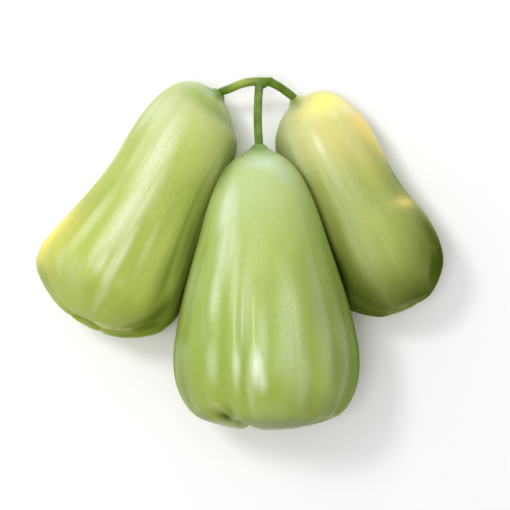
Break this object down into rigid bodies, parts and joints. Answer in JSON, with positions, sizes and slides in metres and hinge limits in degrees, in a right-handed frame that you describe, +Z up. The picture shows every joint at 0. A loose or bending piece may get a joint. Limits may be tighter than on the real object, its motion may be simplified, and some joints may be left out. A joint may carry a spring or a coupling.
{
  "type": "wax apple",
  "caption": "Picked bunch of pale green, bell-shaped wax apples on a short forked stalk, lying on its side, with ribbed skins and fleshy calyx lobes.",
  "frame": {"origin": "on the surface that the bunch lies on, under the centre of its bounding box", "axes": "+Z up from that surface, +Y from the calyx ends towards the cut stalk, +X from the left fruit to the right one"},
  "size_m": [0.1249, 0.109, 0.0554],
  "materials": {
    "fruit_skin": "glossy, waxy, slightly translucent pale green skin",
    "green_stalk": "satin green bark, pale where cut"
  },
  "bodies": {
    "root": {"fruit_left": "fruit_skin", "fruit_middle": "fruit_skin", "fruit_right": "fruit_skin", "stalk": "green_stalk"}
  },
  "joints": []
}
